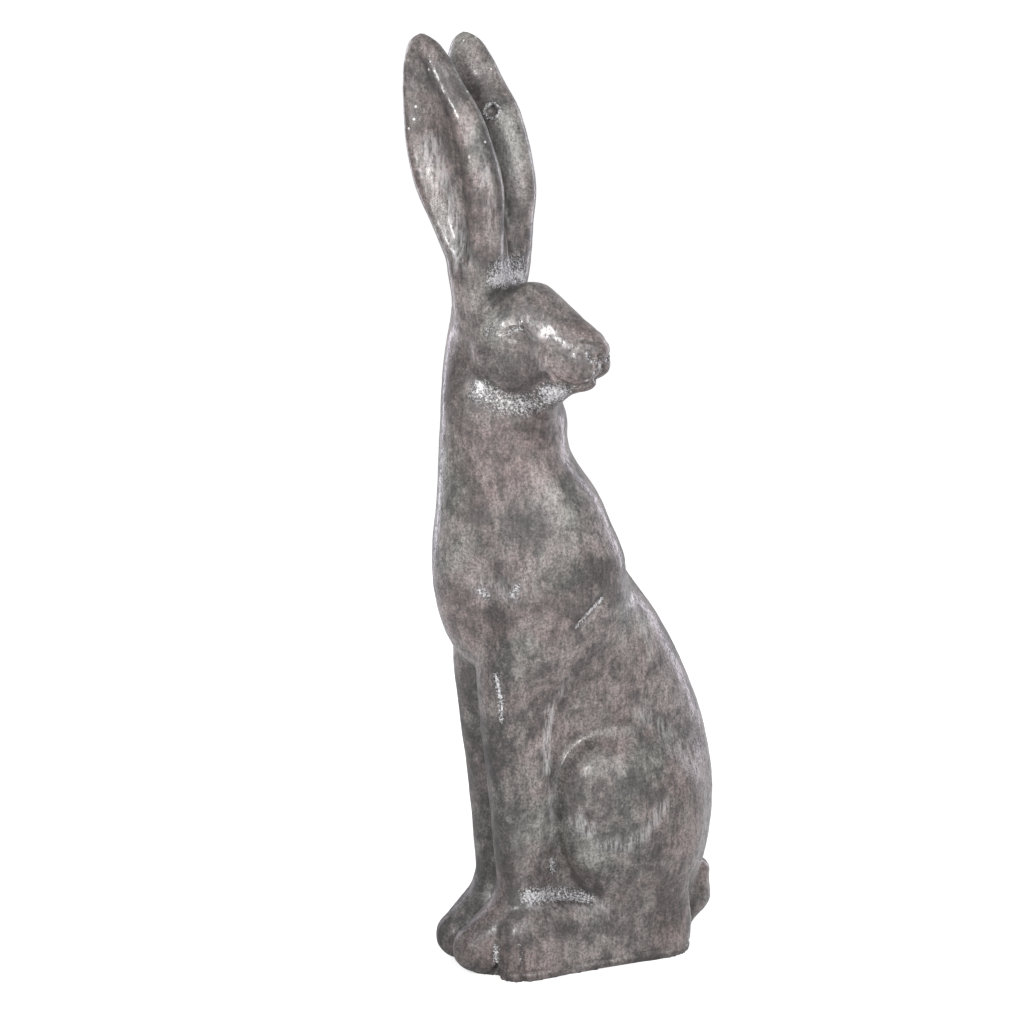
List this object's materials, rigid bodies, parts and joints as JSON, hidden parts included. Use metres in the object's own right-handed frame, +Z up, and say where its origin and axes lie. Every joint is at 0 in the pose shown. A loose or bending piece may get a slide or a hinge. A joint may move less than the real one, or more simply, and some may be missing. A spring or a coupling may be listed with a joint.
{
  "type": "rabbit garden statue",
  "caption": "Seated long-eared hare garden statue in waxed cement, one casting, body upright and head turned back over its shoulder, flat underside.",
  "frame": {"origin": "middle of the statue's bounding box, at ground level under its flat base", "axes": "+Z up to the ear tips, the body faces -Y, its left side is +X and its head is turned back over the left shoulder"},
  "size_m": [0.1766, 0.2848, 0.8],
  "materials": {
    "waxed_cement": "satin"
  },
  "bodies": {
    "root": {"rabbit_statue": "waxed_cement"}
  },
  "joints": []
}
